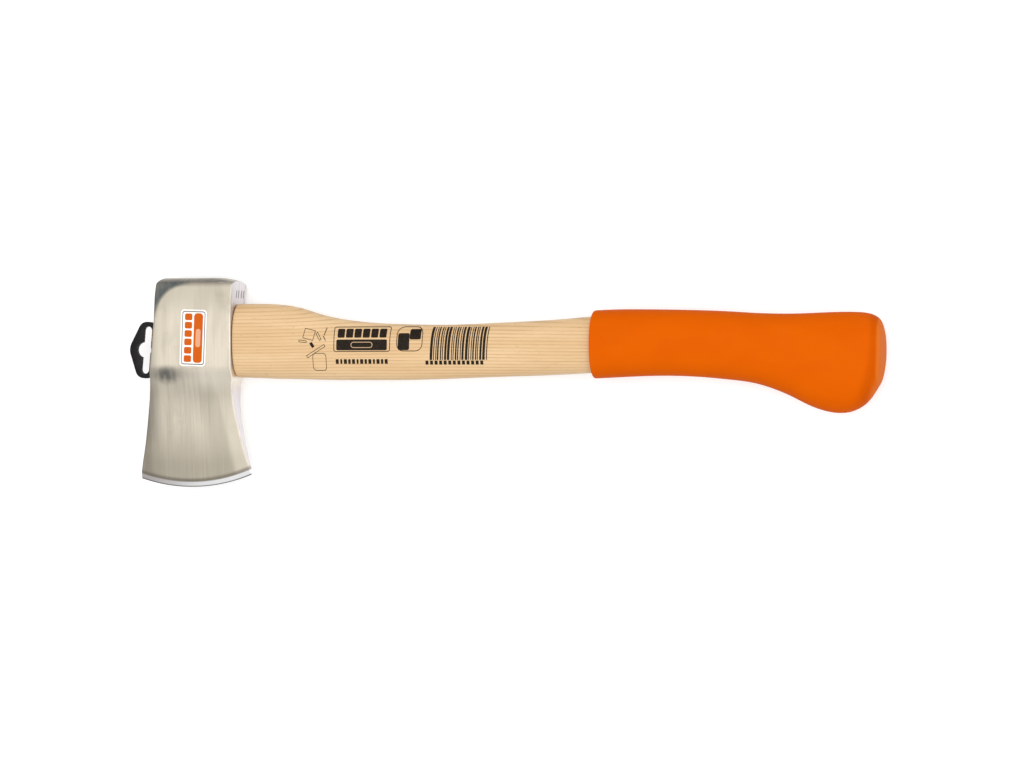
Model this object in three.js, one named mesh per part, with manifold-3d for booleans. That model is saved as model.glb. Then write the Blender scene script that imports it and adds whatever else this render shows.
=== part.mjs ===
// A small general-purpose axe with a wedged ash handle and a moulded grip, lying on its side.
// Millimetres. X runs along the handle from the head to the knob, Y from the cutting edge up
// to the poll, Z through the thickness of the head. While it is being built, X = 0 is the
// underside of the head, Y = 0 the middle of the eye and Z = 0 the middle of the thickness.
// At the end the whole axe moves so that the origin is below the middle of its box.
import * as THREE from 'three';
import { mergeVertices } from 'three/addons/utils/BufferGeometryUtils.js';
import Module from 'manifold-3d';

// ---------------------------------------------------------------- driving dimensions
const fit = 0.3; // clearance all round between pieces that touch

// head
const headLength = 56; // top side to underside, measured on the axis of the eye
const headThickness = 27; // across the flat cheeks
const eyeLength = 44; // the eye is a slot with round ends, long way up the head
const eyeWidth = 20;
const pollWall = 20.2; // solid steel between the eye and the top of the poll
const pollCrown = 34; // radius of the hammer face across the thickness
const pollDrop = 2.6; // how much the poll falls towards the underside
const pollDropLength = 17;
const pollHeel = 2.4; // size of the poll's corner on the handle's side
const pollCorner = 3.4; // radius of the poll's corner on the top side
const pollSetBack = 1.8; // the top side of the poll is this far back from headLength
const pollLean = 1; // the top side leans in by this much up to the poll's corner
const pollOverhang = 1; // the poll's other side reaches this far past the underside
const cheekBelowEye = 17.5; // the flat cheeks end this far below the axis of the eye
const edgeRadius = 113; // radius of the curved cutting edge
const heelDepth = 87.6; // lower corner of the edge on the handle's side, below the axis
const toeDepth = 90.6; // its other corner
const heelFlare = 9.4; // how far the heel reaches past the underside
const toeFlare = 12.3; // how far the toe reaches past the top side
const throatDepth = 38; // below here the underside sweeps out to the heel
const bossStep = 1.1; // the underside steps in by this much just below the handle
const topSlant = THREE.MathUtils.degToRad(5); // lean of the top side where the eye comes out
const bevelHeight = 4.5;
const bevelThickness = 3.2; // thickness where the bevel meets the blade
const edgeThickness = 0.3;

// handle
const handleReach = 432.5; // underside of the head to the end of the grip
const shoulderLedge = 2.6; // how far the shoulder stands out past the eye
const shoulderRounding = 1.5;
const swellEnd = 94; // the deep shoulder has faded into the shaft here
const flareLength = 26; // the shaft flares over this length before the grip
const tongueProud = 1.3; // how far the wood comes out of the top of the eye

// grip
const gripLength = 187.6;
const gripWall = 3.4;
const gripCap = 5.5; // rubber behind the end of the wood
const collarRounding = 0.8;

// wedges
const woodWedgeThickness = 6; // at the top of the eye
const woodWedgeTip = 1.5;
const woodWedgeDepth = 36;
const steelWedgeThickness = 2.6;
const steelWedgeTip = 0.9;
const steelWedgeWidth = 14;
const steelWedgeDepth = 22;
const steelWedgeSunk = 0.3; // its head lies this far below the end of the wood
const steelWedgeInset = 9.5; // from the end of the eye to the middle of the steel wedge
const barbs = 3;
const barbDepth = 0.25;

// hang tab
const hangSlotLength = 31.4; // a standard shop hook slot
const hangSlotWidth = 5.7;
const hangHole = 10; // diameter of the round bump in the middle of the slot
const hangHoleRise = 1.7; // its centre above the middle of the slot
const hangArm = 3; // plastic beyond each end of the slot
const hangBase = 2; // plastic between the slot and the wood
const hangPeak = 11.9; // peak of the tab above the middle of the slot
const hangShoulder = 6.4; // its shoulders above the middle of the slot
const hangBend = 3.6; // size of its round corners
const hangThickness = 3;
const tailThickness = 1.4; // the tail that is pinched beside the wooden wedge
const tailDepth = 24;
const tailGap = 5.5; // from the tail to the middle of the steel wedge
const tailInset = 3; // from the other end of the eye

// cheek label
const labelWidth = 18.3;
const labelHeight = 37.2;
const labelThickness = 0.3;
const labelCorner = 1.4;
const labelFromUnderside = 26.3;
const labelRise = 2.3;
const labelTurn = THREE.MathUtils.degToRad(-2);
const labelGap = 0.1; // glue line

// fineness of the mesh
const limbSides = 32;
const limbStations = 34;
const gripStations = 26;
const headStations = 15;
const arcSegments = 8;

// ---------------------------------------------------------------- worked out from them
const halfHead = headThickness / 2;
const pollTop = eyeLength / 2 + pollWall;
const collar = handleReach - gripLength;
const woodEnd = handleReach - gripCap;
const tongueTip = headLength + tongueProud;
const flareStart = collar - flareLength;
const steelWedgeY = eyeLength / 2 - steelWedgeInset;
const tailTop = steelWedgeY - tailGap;
const tailBottom = tailInset - eyeLength / 2;
const hangerY = (tailTop + tailBottom) / 2;
const farAway = 2 * (headLength + eyeLength); // past everything, for cutting tools

// ---------------------------------------------------------------- helpers
const wasm = await Module();
wasm.setup();

// A closed three.js geometry as a solid that can be cut and joined.
function solidOf(geometry) {
  const bare = geometry.index ? geometry.toNonIndexed() : geometry.clone();
  bare.deleteAttribute('normal');
  bare.deleteAttribute('uv');
  const merged = mergeVertices(bare, 1e-4);
  const vertProperties = Float32Array.from(merged.attributes.position.array);
  const triVerts = Uint32Array.from(merged.index.array);
  return new wasm.Manifold(new wasm.Mesh({ numProp: 3, vertProperties, triVerts }));
}

// A solid back as a three.js geometry.
function geometryOf(solid) {
  const mesh = solid.getMesh();
  const geometry = new THREE.BufferGeometry();
  geometry.setAttribute('position', new THREE.BufferAttribute(mesh.vertProperties, 3));
  geometry.setIndex(new THREE.BufferAttribute(mesh.triVerts, 1));
  geometry.computeVertexNormals();
  return geometry;
}

// A smooth curve y(x) through a list of [x, y] points.
function curveThrough(points) {
  const places = points.map((point) => point[0]);
  const values = points.map((point) => point[1]);
  const spline = new THREE.CubicInterpolant(places, values, 1, new Float32Array(1));
  return (x) => spline.evaluate(x)[0];
}

// A closed body through rings of points, from low X to high X: a cylinder whose rows of
// corners are moved onto the rings and whose two caps become the ends.
function loft(rings) {
  const sides = rings[0].length;
  const rows = rings.length - 1;
  const geometry = new THREE.CylinderGeometry(1, 1, 1, sides, rows);
  const position = geometry.attributes.position;
  const middles = rings.map((ring) => {
    const sum = ring.reduce((total, point) => total.add(point), new THREE.Vector3());
    return sum.divideScalar(sides);
  });
  for (let i = 0; i < position.count; i += 1) {
    const row = Math.round((position.getY(i) + 0.5) * rows);
    const across = position.getX(i);
    const along = position.getZ(i);
    const turn = Math.atan2(across, along) / (2 * Math.PI);
    const side = (Math.round(turn * sides) + sides) % sides;
    const onAxis = Math.hypot(across, along) < 0.5;
    const point = onAxis ? middles[row] : rings[row][side];
    position.setXYZ(i, point.x, point.y, point.z);
  }
  return geometry;
}

// A straight-sided solid: the shape drawn in X and Y, standing from low to high along Z.
function plate(shape, low, high) {
  const options = { depth: high - low, bevelEnabled: false, curveSegments: arcSegments };
  return new THREE.ExtrudeGeometry(shape, options).translate(0, 0, low);
}

// A slot with round ends, its long way along Y.
function roundEnded(length, width) {
  const radius = width / 2;
  const straight = length / 2 - radius;
  const shape = new THREE.Shape();
  shape.absarc(0, straight, radius, 0, Math.PI, false);
  shape.absarc(0, -straight, radius, Math.PI, 2 * Math.PI, false);
  return shape;
}

function roundedRectangle(width, height, corner) {
  const x = width / 2;
  const y = height / 2;
  const quarter = Math.PI / 2;
  const shape = new THREE.Shape();
  shape.absarc(x - corner, y - corner, corner, 0, quarter, false);
  shape.absarc(corner - x, y - corner, corner, quarter, 2 * quarter, false);
  shape.absarc(corner - x, corner - y, corner, 2 * quarter, 3 * quarter, false);
  shape.absarc(x - corner, corner - y, corner, 3 * quarter, 4 * quarter, false);
  return shape;
}

// A block between two corners.
function block(low, high) {
  const size = high.clone().sub(low);
  const middle = high.clone().add(low).multiplyScalar(0.5);
  return new THREE.BoxGeometry(size.x, size.y, size.z).translate(middle.x, middle.y, middle.z);
}

function material(colour, roughness, metalness) {
  return new THREE.MeshStandardMaterial({ color: colour, roughness, metalness });
}

function piece(name, solid, finish) {
  const mesh = new THREE.Mesh(geometryOf(solid), finish);
  mesh.name = name;
  return mesh;
}

// The tongue's end is cut on a slant, parallel to the head's top side. This turns a geometry
// to that slant and puts its origin on the cut, at a height Y.
function leanWithTop(geometry, y) {
  const endX = Math.tan(topSlant) * y - tongueTip;
  return geometry.rotateZ(-topSlant).translate(endX, y, 0);
}

// Everything that lies further out than this distance past the tongue's end.
function pastTongue(distance) {
  const low = new THREE.Vector3(-farAway, -farAway, -farAway);
  const high = new THREE.Vector3(-distance, farAway, farAway);
  return solidOf(leanWithTop(block(low, high), 0));
}

// ---------------------------------------------------------------- head
const toe = new THREE.Vector2(-headLength - toeFlare, -toeDepth);
const heel = new THREE.Vector2(heelFlare, -heelDepth);

// The cutting edge is an arc through the toe and the heel.
function edgeY(x) {
  const middle = toe.clone().add(heel).multiplyScalar(0.5);
  const chord = heel.clone().sub(toe);
  const height = Math.sqrt(edgeRadius ** 2 - chord.lengthSq() / 4);
  const up = new THREE.Vector2(-chord.y, chord.x).normalize().multiplyScalar(height);
  const centre = middle.add(up);
  return centre.y - Math.sqrt(edgeRadius ** 2 - (x - centre.x) ** 2);
}

// Thickness of the blade between the bevel (0) and the flat cheeks (1).
const bladeThickness = curveThrough([
  [0, bevelThickness],
  [0.14, 5.8],
  [0.35, 8.2],
  [0.58, 11.8],
  [0.77, 16.2],
  [0.89, 21.6],
  [0.96, headThickness - 1.6],
  [1, headThickness],
]);

// One cross-section of the head at X, from the edge round the poll and back.
function headRing(x) {
  const edge = edgeY(x);
  const bevelTop = edge + bevelHeight;
  const side = [[edgeThickness / 2, edge]];
  const bladeSteps = 10;
  for (let i = 0; i <= bladeSteps; i += 1) {
    const share = i / bladeSteps;
    const y = THREE.MathUtils.lerp(bevelTop, -cheekBelowEye, share);
    side.push([bladeThickness(share) / 2, y]);
  }
  const fall = pollDrop * Math.max(0, 1 + x / pollDropLength) ** 2;
  const crownSteps = 5;
  for (let i = 0; i < crownSteps; i += 1) {
    const z = halfHead * (1 - i / crownSteps);
    const sag = pollCrown - Math.sqrt(pollCrown ** 2 - z ** 2);
    side.push([z, pollTop - fall - sag]);
  }
  const points = side.map(([z, y]) => new THREE.Vector3(x, y, z));
  points.push(new THREE.Vector3(x, pollTop - fall, 0));
  const mirrored = side.map(([z, y]) => new THREE.Vector3(x, y, -z)).reverse();
  return [...points, ...mirrored].reverse();
}

// What the head looks like from its cheek, without its edge and its poll.
function headOutline() {
  const below = -2 * toeDepth;
  const above = 2 * pollTop;
  const topSideX = -headLength + pollSetBack;
  const shape = new THREE.Shape();
  shape.moveTo(toe.x - 0.17 * (toe.y - below), below);
  shape.lineTo(toe.x, toe.y);
  shape.quadraticCurveTo(-headLength - 4.6, -toeDepth / 2, -headLength - 0.8, -8);
  shape.quadraticCurveTo(-headLength + 1.4, 8, topSideX, 30);
  const cornerX = topSideX + pollLean;
  shape.lineTo(cornerX, pollTop - pollCorner);
  shape.absarc(cornerX + pollCorner, pollTop - pollCorner, pollCorner, Math.PI, Math.PI / 2, true);
  shape.lineTo(cornerX + pollCorner, above);
  const lowPoll = pollTop - pollDrop;
  shape.lineTo(pollOverhang - pollHeel, above);
  shape.lineTo(pollOverhang - pollHeel, lowPoll + 1);
  shape.quadraticCurveTo(pollOverhang, lowPoll - 0.5, pollOverhang, lowPoll - pollHeel - 1);
  shape.quadraticCurveTo(0, lowPoll - 4 * pollHeel, 0, eyeLength / 2);
  shape.lineTo(0, -eyeLength / 2 - shoulderLedge);
  shape.lineTo(-bossStep, -eyeLength / 2 - shoulderLedge - 2);
  shape.lineTo(-bossStep, -throatDepth);
  const bend = (heelDepth - throatDepth) / 4;
  shape.bezierCurveTo(-0.6, -throatDepth - bend, 6.2, bend - heelDepth, heel.x, heel.y);
  shape.lineTo(heel.x + 0.16 * (heel.y - below), below);
  return shape;
}

function makeHead() {
  const rings = [];
  const low = toe.x - 4;
  const high = heel.x + 4;
  for (let i = 0; i <= headStations; i += 1) {
    rings.push(headRing(THREE.MathUtils.lerp(low, high, i / headStations)));
  }
  const outline = plate(headOutline(), -headThickness, headThickness);
  const eye = plate(roundEnded(eyeLength, eyeWidth), -farAway, farAway).rotateY(Math.PI / 2);
  return solidOf(loft(rings)).intersect(solidOf(outline)).subtract(solidOf(eye));
}

// ---------------------------------------------------------------- handle and grip
// The outline of the wood from the cheek side, above and below the axis of the eye. Places
// on the shaft are shares of the stretch between the shoulder's swell and the flare.
const onShaft = (share) => THREE.MathUtils.lerp(swellEnd, flareStart, share);
const fromEnd = (distance) => handleReach - distance;

const topLine = curveThrough([
  [0, eyeLength / 2 + shoulderLedge + 0.2],
  [27, eyeLength / 2 + shoulderLedge],
  [38, 23.5],
  [44, 22.5],
  [49, 20.6],
  [60, 16.7],
  [72, 14.5],
  [swellEnd, 11.9],
  [onShaft(0.2), 10.8],
  [onShaft(0.42), 10.3],
  [onShaft(0.66), 11.4],
  [flareStart, 13.3],
  [collar + 6, 15.8],
  [fromEnd(144), 15.8],
  [fromEnd(103), 14.6],
  [fromEnd(81), 13.2],
  [fromEnd(61), 12.7],
  [fromEnd(19), 13.6],
  [fromEnd(9.5), 12.8],
  [fromEnd(4.4), 10.8],
  [fromEnd(1.2), 7],
  [handleReach, 2.5],
]);

const bottomLine = curveThrough([
  [0, -eyeLength / 2 - shoulderLedge + 0.8],
  [16, -eyeLength / 2 - shoulderLedge + 0.5],
  [27, -24.8],
  [38, -24.7],
  [60, -25.4],
  [swellEnd, -25.5],
  [onShaft(0.2), -25.5],
  [onShaft(0.66), -23.6],
  [flareStart, -22.3],
  [collar + 6, -20.6],
  [fromEnd(144), -19.1],
  [fromEnd(123), -19.6],
  [fromEnd(103), -21.2],
  [fromEnd(81), -24.1],
  [fromEnd(61), -31],
  [fromEnd(45), -38.8],
  [fromEnd(30), -42.6],
  [fromEnd(19), -41.4],
  [fromEnd(9.5), -35.2],
  [fromEnd(4.4), -27.6],
  [fromEnd(1), -21],
  [handleReach, -15.3],
]);

const halfDepth = curveThrough([
  [0, halfHead],
  [20, halfHead - 0.3],
  [50, 11.8],
  [swellEnd, 10.8],
  [onShaft(0.5), 10.6],
  [collar, 12.5],
  [fromEnd(100), 12.6],
  [fromEnd(30), 13.1],
  [fromEnd(12), 12.9],
  [fromEnd(5.5), 11.9],
  [fromEnd(1.8), 9.6],
  [handleReach, 6.5],
]);

// A rounded cross-section at X, grown outwards on all sides, with its outline taken at source.
function limbRing(x, source, grow) {
  const squareness = 2.35; // 2 is an ellipse, more is squarer
  const top = topLine(source) + grow;
  const bottom = bottomLine(source) - grow;
  const depth = halfDepth(source) + grow;
  const ring = [];
  for (let i = 0; i < limbSides; i += 1) {
    const angle = (i / limbSides) * 2 * Math.PI;
    const up = Math.cos(angle);
    const out = Math.sin(angle);
    const y = Math.sign(up) * Math.abs(up) ** (2 / squareness) * (top - bottom) / 2;
    const z = Math.sign(out) * Math.abs(out) ** (2 / squareness) * depth;
    ring.push(new THREE.Vector3(x, (top + bottom) / 2 + y, z));
  }
  return ring;
}

// How much a rounded edge of this radius pulls in at this distance from the end.
function roundOff(radius, distance) {
  const missing = Math.max(0, radius - distance);
  return Math.sqrt(radius ** 2 - missing ** 2) - radius;
}

// The wood ends before the grip does, so near the knob its outline is taken further on,
// which keeps the grip's wall and closes the end of the wood under the grip's cap.
function woodSource(x) {
  const knobLength = 45;
  return x + gripCap * THREE.MathUtils.smoothstep(x, handleReach - knobLength, woodEnd);
}

// Stations that crowd towards the high end, where the outline closes.
function crowded(low, high, steps, crowding) {
  const places = [];
  for (let i = 0; i <= steps; i += 1) {
    places.push(low + (high - low) * (1 - (1 - i / steps) ** crowding));
  }
  return places;
}

// The stations of the wood, from its shoulder to its end inside the grip.
function woodPlaces() {
  const shoulder = [fit, fit + shoulderRounding * 0.3, fit + shoulderRounding];
  return [...shoulder, ...crowded(fit + 2 * shoulderRounding, woodEnd, limbStations, 1.25)];
}

function shaft() {
  return loft(woodPlaces().map((x) => {
    return limbRing(x, woodSource(x), roundOff(shoulderRounding, x - fit));
  }));
}

// The hollow of the grip follows the wood's own stations, so the clearance is even.
function gripHollow() {
  const places = woodPlaces();
  const first = places.findIndex((x) => x > collar) - 1;
  const rings = places.slice(first).map((x) => limbRing(x, woodSource(x), fit));
  rings.push(limbRing(woodEnd + fit, woodSource(woodEnd), fit));
  return loft(rings);
}

// The wood inside the eye: a slot-shaped tongue cut off along the head's top side.
function tongue() {
  const shape = roundEnded(eyeLength - 2 * fit, eyeWidth - 2 * fit);
  const intoShaft = 10;
  const length = plate(shape, -farAway, intoShaft).rotateY(Math.PI / 2);
  return solidOf(length).subtract(pastTongue(0));
}

// The wooden wedge's shape, grown by some clearance, right across the eye.
function woodWedgeTool(grow) {
  const start = -tongueTip;
  const tip = start + woodWedgeDepth + grow;
  const before = start - headLength / 2;
  const slope = (woodWedgeThickness - woodWedgeTip) / 2 / woodWedgeDepth;
  const thick = woodWedgeThickness / 2 + slope * (start - before) + grow;
  const thin = woodWedgeTip / 2 + grow;
  const shape = new THREE.Shape();
  shape.moveTo(before, -thick);
  shape.lineTo(tip, -thin);
  shape.lineTo(tip, thin);
  shape.lineTo(before, thick);
  return solidOf(plate(shape, -eyeLength, eyeLength).rotateX(Math.PI / 2));
}

// The steel wedge's shape lies across the wooden one. It has barbs, its slot has none.
function steelWedgeTool(grow, withBarbs) {
  const start = steelWedgeSunk;
  const tip = steelWedgeDepth + grow;
  const halfAt = (x) => {
    const share = (x - start) / (steelWedgeDepth - start);
    return THREE.MathUtils.lerp(steelWedgeThickness, steelWedgeTip, share) / 2 + grow;
  };
  const upper = [[start, halfAt(start)]];
  if (!withBarbs) {
    upper.unshift([-farAway, halfAt(start)]);
  }
  for (let i = 1; withBarbs && i <= barbs; i += 1) {
    const x = (i * steelWedgeDepth) / (barbs + 1);
    upper.push([x, halfAt(x)], [x + barbDepth, halfAt(x) - barbDepth]);
  }
  upper.push([tip, halfAt(tip)]);
  const lower = upper.map(([x, y]) => [x, -y]).reverse();
  const shape = new THREE.Shape([...lower, ...upper].map(([x, y]) => new THREE.Vector2(x, y)));
  const halfWidth = steelWedgeWidth / 2 + grow;
  return solidOf(leanWithTop(plate(shape, -halfWidth, halfWidth), steelWedgeY));
}

// ---------------------------------------------------------------- hang tab
const hangSlotBase = fit + hangBase + hangSlotWidth / 2; // wood to the middle of the slot
const tailMiddle = woodWedgeThickness / 2 + fit + tailThickness / 2;

// The tail that goes down into the wood, grown by some clearance.
function tailTool(grow) {
  const thick = tailThickness / 2 + grow;
  const deepest = tailDepth - tongueTip + grow;
  const low = new THREE.Vector3(-farAway, tailBottom - grow, tailMiddle - thick);
  const high = new THREE.Vector3(deepest, tailTop + grow, tailMiddle + thick);
  return solidOf(block(low, high));
}

// The flat tab: a roof with round shoulders, and the hook slot with its round bump.
// It is drawn with its base along Y and its peak towards low X.
function tabShape() {
  const half = hangSlotLength / 2 + hangArm;
  const base = -fit;
  const middle = -hangSlotBase;
  const shoulder = middle - hangShoulder;
  const peak = middle - hangPeak;
  const peakFlank = peak + 0.7; // where the round peak runs out into the flanks
  const side = middle - 1; // where the straight sides end
  const shape = new THREE.Shape();
  shape.moveTo(base, hangBend - half);
  shape.quadraticCurveTo(base, -half, base - hangBend, -half);
  shape.lineTo(side, -half);
  shape.quadraticCurveTo(shoulder + 1, -half, shoulder, hangBend - half);
  shape.lineTo(peakFlank, -hangBend);
  shape.quadraticCurveTo(peak - 0.3, 0, peakFlank, hangBend);
  shape.lineTo(shoulder, half - hangBend);
  shape.quadraticCurveTo(shoulder + 1, half, side, half);
  shape.lineTo(base - hangBend, half);
  shape.quadraticCurveTo(base, half, base, half - hangBend);
  return shape;
}

function makeHanger() {
  const low = tailMiddle - hangThickness / 2;
  const high = tailMiddle + hangThickness / 2;
  const slot = plate(roundEnded(hangSlotLength, hangSlotWidth), low - 1, high + 1);
  slot.translate(-hangSlotBase, 0, 0);
  const hole = plate(roundEnded(hangHole + 0.01, hangHole), low - 1, high + 1);
  hole.translate(-hangSlotBase - hangHoleRise, 0, 0);
  const tab = solidOf(plate(tabShape(), low, high));
  const cutTab = tab.subtract(solidOf(slot)).subtract(solidOf(hole));
  const intoTab = (hangSlotBase - hangSlotWidth / 2) / 2;
  const tail = tailTool(0).subtract(pastTongue(intoTab));
  return solidOf(leanWithTop(geometryOf(cutTab), hangerY)).add(tail);
}

// ---------------------------------------------------------------- the pieces together
function makeHandle() {
  const wood = solidOf(shaft()).add(tongue());
  const kerf = woodWedgeTool(fit);
  const wedged = wood.subtract(kerf).subtract(steelWedgeTool(fit, false));
  return wedged.subtract(tailTool(fit));
}

function makeWoodWedge() {
  return woodWedgeTool(0).intersect(tongue()).subtract(steelWedgeTool(fit, false));
}

function makeGrip() {
  const outerPlaces = [collar, collar + 0.3 * collarRounding, collar + collarRounding];
  outerPlaces.push(...crowded(collar + 3 * collarRounding, handleReach, gripStations, 1.7));
  const outer = loft(outerPlaces.map((x) => {
    return limbRing(x, x, fit + gripWall + roundOff(collarRounding, x - collar));
  }));
  return solidOf(outer).subtract(solidOf(gripHollow()));
}

function makeLabel() {
  const shape = roundedRectangle(labelWidth, labelHeight, labelCorner);
  return solidOf(plate(shape, 0, labelThickness));
}

const steel = material(0xc3b9ab, 0.38, 0.95);
const ash = material(0xeec594, 0.6, 0);
const wedgeWood = material(0xd9ae7c, 0.7, 0);
const darkSteel = material(0x6f6d69, 0.5, 0.9);
const orangeRubber = material(0xeb6701, 0.5, 0);
const blackPlastic = material(0x262425, 0.45, 0);
const labelFilm = material(0xf7f4f0, 0.4, 0);

const label = piece('cheek_label', makeLabel(), labelFilm);
label.position.set(-labelFromUnderside, labelRise, halfHead + labelGap);
label.rotation.z = labelTurn;

const axe = new THREE.Group();
axe.add(
  piece('axe_head', makeHead(), steel),
  piece('handle', makeHandle(), ash),
  piece('wooden_wedge', makeWoodWedge(), wedgeWood),
  piece('steel_wedge', steelWedgeTool(0, true), darkSteel),
  piece('hanger', makeHanger(), blackPlastic),
  piece('grip', makeGrip(), orangeRubber),
  label,
);

const box = new THREE.Box3().setFromObject(axe, true);
const boxMiddle = box.getCenter(new THREE.Vector3());
axe.position.set(-boxMiddle.x, -boxMiddle.y, -box.min.z);

export default axe;
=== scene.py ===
import math

import bmesh
import bpy
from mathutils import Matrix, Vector


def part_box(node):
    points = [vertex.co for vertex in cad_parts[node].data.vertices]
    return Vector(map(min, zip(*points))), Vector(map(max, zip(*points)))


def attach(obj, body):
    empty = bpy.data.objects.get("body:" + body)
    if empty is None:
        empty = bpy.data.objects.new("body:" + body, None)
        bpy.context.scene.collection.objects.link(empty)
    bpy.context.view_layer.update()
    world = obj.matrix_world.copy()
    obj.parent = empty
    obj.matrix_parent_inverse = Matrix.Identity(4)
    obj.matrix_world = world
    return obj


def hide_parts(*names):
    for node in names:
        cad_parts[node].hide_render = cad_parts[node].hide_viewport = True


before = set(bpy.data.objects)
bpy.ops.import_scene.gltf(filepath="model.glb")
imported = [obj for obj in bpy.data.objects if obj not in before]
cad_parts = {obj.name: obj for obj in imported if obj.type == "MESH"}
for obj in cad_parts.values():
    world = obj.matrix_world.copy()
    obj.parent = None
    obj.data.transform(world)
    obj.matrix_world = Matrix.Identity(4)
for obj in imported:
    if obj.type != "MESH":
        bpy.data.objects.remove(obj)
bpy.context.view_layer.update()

MM = 0.001

# ------------------------------------ sizes
FIT = 0.3                       # clearance all round between pieces that touch

HEAD_LENGTH = 56.0              # top side to underside, on the axis of the eye
HALF_HEAD = 13.5                # half the thickness across the flat cheeks
POLL_TOP = 42.2
POLL_ROOT = 30.0                # the poll's crown and its fall start from here
POLL_CROWN = 34.0               # radius of the hammer face across the thickness
POLL_DROP = 2.1                 # fall of the poll towards the underside
POLL_DROP_LENGTH = 15.0
HEEL_FLARE = 9.4                # how far the heel reaches past the underside
TOE_FLARE = 12.3
TOE_DEPTH = 90.6
HEEL_DEPTH = 87.6
CHEEK_END = -17.5               # below here the cheeks thin down to the blade
EDGE_LINE = -90.0               # the block's own lower end, before the edge is curved
EDGE_RADIUS = 113.0
EDGE_CENTRE = (-33.5, 16.9)
BEVEL_HEIGHT = 4.5
EDGE_THICKNESS = 0.3
EYE_LENGTH = 44.0
EYE_WIDTH = 20.0
TOP_SLANT = math.radians(5)     # lean of the top side where the eye comes out

HANDLE_REACH = 432.5
GRIP_LENGTH = 187.6
GRIP_WALL = 3.4
GRIP_CAP = 5.5                  # rubber behind the end of the wood
COLLAR = HANDLE_REACH - GRIP_LENGTH
COLLAR_ROUNDING = 0.8
WOOD_END = HANDLE_REACH - GRIP_CAP
SHOULDER_ROUNDING = 1.5
SWELL_END = 94.0
FLARE_START = COLLAR - 26.0
KNOB_LENGTH = 45.0
TONGUE_TIP = HEAD_LENGTH + 1.3
OVERSHOOT = 8.0                 # how far the tools run past the end of the wood
SQUARENESS = 2.35               # of the handle's section: 2 is an ellipse, more is squarer
LIMB_SIDES = 48

WOOD_WEDGE = (6.0, 1.5, 36.0)   # thickness at the top, at the tip, depth
STEEL_WEDGE = (2.6, 0.9, 22.0)
STEEL_WEDGE_WIDTH = 14.0
STEEL_WEDGE_RISE = 12.5         # its middle above the axis of the eye

TAB_RISE = -6.0                 # middle of the hang tab
TAB_HALF = 18.7
TAB_MIDDLE_Z = 4.0
TAB_THICKNESS = 3.0
TAB_BASE = -0.3
TAB_SHOULDER = -10.05
TAB_PEAK = -17.85
TAB_BEND = 3.7
HANG_SLOT = (31.4, 5.7)
HANG_SLOT_X = -5.15
HANG_BUMP = 10.0
HANG_BUMP_X = -6.85
TAIL = (-19.0, 7.0, 1.4, -33.3)  # lowest, highest, thickness, how far down it reaches

LABEL = (18.3, 37.2, 0.3)
LABEL_MIDDLE = (-26.3, 2.3)
LABEL_TURN = math.radians(-2)
GLUE_LINE = 0.1
INK_ROOT = 0.1                  # how deep each layer of ink starts inside the film

# The bench's zero point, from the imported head.
head_low, head_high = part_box("axe_head")
ZERO = Vector((
    head_high[0] - HEEL_FLARE * MM,
    head_high[1] - POLL_TOP * MM,
    (head_low[2] + head_high[2]) / 2,
))


def at(x, y, z=0.0):
    """A place on the bench, from millimetres."""
    return ZERO + Vector((x, y, z)) * MM


def measured(place):
    """A vertex's place as bench millimetres."""
    return (Vector(place) - ZERO) / MM


# ------------------------------------ working by hand
def let_go():
    """Deselects every object."""
    bpy.ops.object.select_all(action="DESELECT")


def take(piece):
    """Makes this the only selected object."""
    let_go()
    piece.select_set(True)
    bpy.context.view_layer.objects.active = piece


def open_up(piece):
    take(piece)
    bpy.ops.object.mode_set(mode="EDIT")
    bpy.ops.mesh.select_mode(type="VERT")


def close_up():
    bpy.ops.object.mode_set(mode="OBJECT")


def take_all():
    """Selects all of an open mesh."""
    bpy.ops.mesh.select_all(action="SELECT")


def pick_parts(piece, kind, wanted):
    """Selects the vertices or the edges of an open mesh that pass the test."""
    mesh = bmesh.from_edit_mesh(piece.data)
    for part in getattr(mesh, kind):
        part.select = wanted(part)
    mesh.select_flush_mode()
    bmesh.update_edit_mesh(piece.data)


def pick(piece, wanted, places=None):
    """Selects the vertices whose place passes the test. Given the places where the vertices
    started, it tests those instead."""
    pick_parts(piece, "verts", lambda vertex: wanted(
        places[vertex.index] if places else measured(piece.matrix_world @ vertex.co)))


def starting_places(piece):
    return [measured(piece.matrix_world @ vertex.co) for vertex in piece.data.vertices]


def stretch(about, x=1.0, y=1.0, z=1.0):
    bpy.ops.transform.resize(value=(x, y, z), center_override=about)


def shift(x=0.0, y=0.0):
    bpy.ops.transform.translate(value=(x * MM, y * MM, 0))


def slice_at(place, normal):
    """Cuts a new ring of edges through everything."""
    take_all()
    bpy.ops.mesh.bisect(plane_co=place, plane_no=normal)


def settle(piece):
    """Puts the object at the origin, with its place in its mesh."""
    take(piece)
    bpy.ops.object.transform_apply(location=True, rotation=True, scale=True)


def pin(piece, place):
    """Gives an object its origin at a place, so that it turns about it."""
    take(piece)
    bpy.context.scene.cursor.location = place
    bpy.ops.object.origin_set(type="ORIGIN_CURSOR")


def named(name):
    piece = bpy.context.object
    piece.name = name
    piece.data.name = name
    return piece


def block(name, low, high):
    """A block between two corners, with its place in its mesh."""
    middle = [(a + b) / 2 for a, b in zip(low, high)]
    let_go()
    bpy.ops.mesh.primitive_cube_add(size=1, location=at(*middle))
    piece = named(name)
    piece.scale = [(b - a) * MM for a, b in zip(low, high)]
    settle(piece)
    return piece


def work(piece, name, kind, **settings):
    """Gives a piece a modifier and applies it."""
    take(piece)
    modifier = piece.modifiers.new(name, kind)
    for setting, value in settings.items():
        setattr(modifier, setting, value)
    bpy.ops.object.modifier_apply(modifier=modifier.name)


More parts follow.
